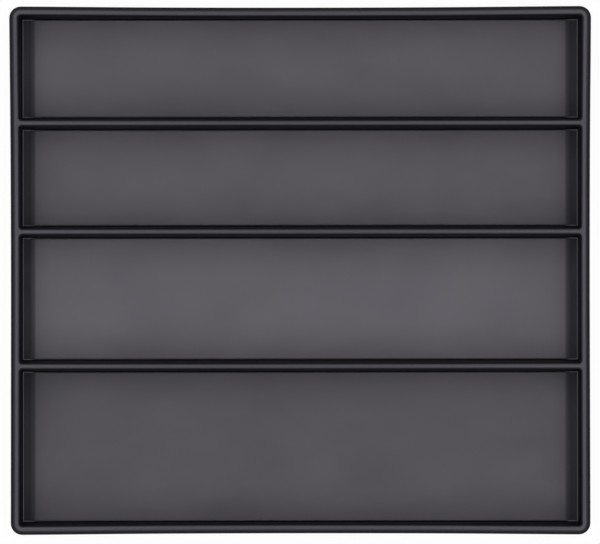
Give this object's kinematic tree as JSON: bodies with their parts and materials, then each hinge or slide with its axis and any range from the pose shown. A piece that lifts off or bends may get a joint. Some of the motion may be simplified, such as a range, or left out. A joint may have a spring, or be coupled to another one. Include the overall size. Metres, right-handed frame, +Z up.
{
  "type": "drawer organiser tray",
  "caption": "Shallow rectangular drawer organiser tray with long parallel compartments of growing width, folded walls with rounded crowns, lift-out grip liners and rubber feet.",
  "frame": {"origin": "middle of the tray's outline, on the surface that the feet stand on", "axes": "+X along the compartments, +Y towards the rear edge with the narrow compartments, +Z up out of the open compartments"},
  "size_m": [0.38, 0.345, 0.04],
  "materials": {
    "tray": "moulded black, glossy crowns and walls",
    "liner": "matte grey soft grip sheet",
    "foot": "matte black rubber"
  },
  "bodies": {
    "tray": {"tray_body": "tray", "foot_rear_left": "foot", "foot_rear_middle": "foot", "foot_rear_right": "foot", "foot_front_left": "foot", "foot_front_middle": "foot", "foot_front_right": "foot"},
    "liner_rear_body": {"liner_rear": "liner"},
    "liner_second_body": {"liner_second": "liner"},
    "liner_third_body": {"liner_third": "liner"},
    "liner_front_body": {"liner_front": "liner"}
  },
  "joints": [
    {"name": "liner_rear_lift", "type": "slide", "parent": "tray", "child": "liner_rear_body", "axis": [0, 0, 1], "range_m": [0, 0.06]},
    {"name": "liner_second_lift", "type": "slide", "parent": "tray", "child": "liner_second_body", "axis": [0, 0, 1], "range_m": [0, 0.06]},
    {"name": "liner_third_lift", "type": "slide", "parent": "tray", "child": "liner_third_body", "axis": [0, 0, 1], "range_m": [0, 0.06]},
    {"name": "liner_front_lift", "type": "slide", "parent": "tray", "child": "liner_front_body", "axis": [0, 0, 1], "range_m": [0, 0.06]}
  ]
}
